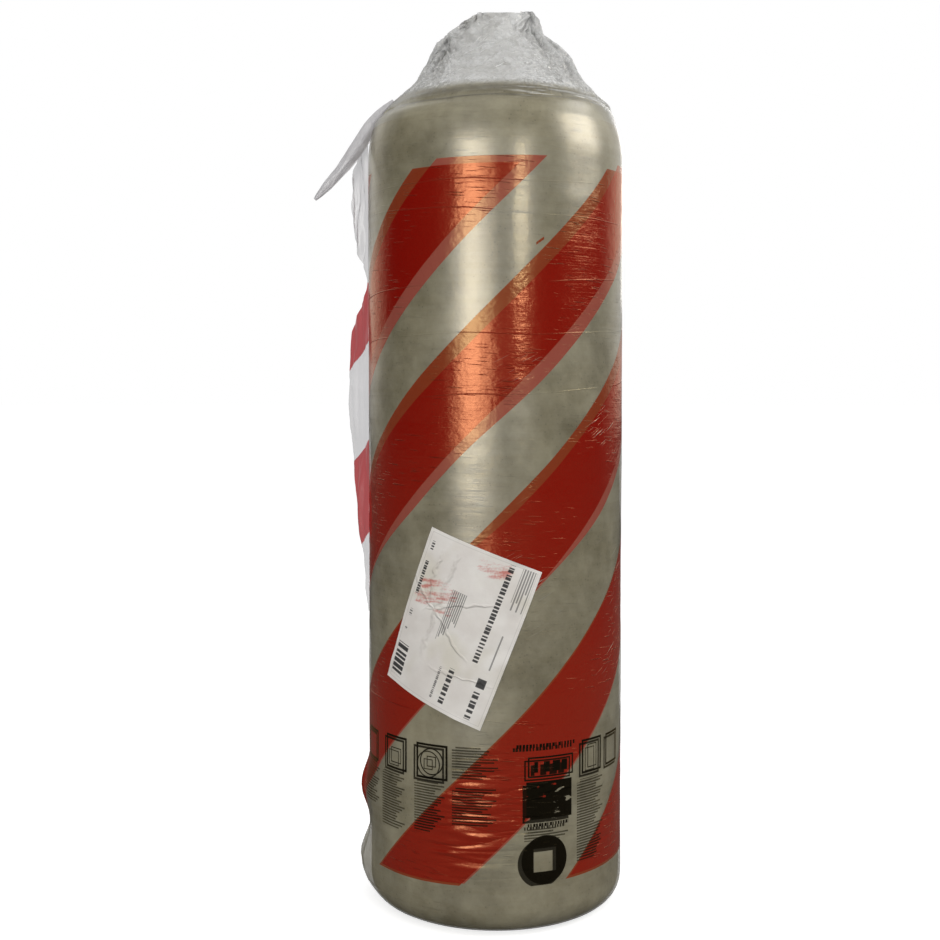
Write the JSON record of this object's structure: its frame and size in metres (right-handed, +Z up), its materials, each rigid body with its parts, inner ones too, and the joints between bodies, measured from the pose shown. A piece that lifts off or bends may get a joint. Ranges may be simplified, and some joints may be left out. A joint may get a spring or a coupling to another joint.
{
  "type": "insulation roll",
  "caption": "Roll of stone-wool insulation felt standing on end, wrapped in striped plastic film that is gathered into a loose crown on top, with a paper label.",
  "frame": {"origin": "centre of the roll's flat underside, on the axis of the winding, where the packed roll stands on the floor", "axes": "+Z up along the axis of the winding; +Y towards the back; the label faces -Y and the film's loose edge stands off towards -X"},
  "size_m": [0.3956, 0.3279, 1.1375],
  "materials": {
    "felt": "matt fibrous stone wool, grey-green",
    "film": "glossy stretch film, clear with a red diagonal stripe print",
    "label": "white coated paper, slightly creased"
  },
  "bodies": {
    "root": {"wool_roll": "felt", "wrap_film": "film", "paper_label": "label"}
  },
  "joints": []
}
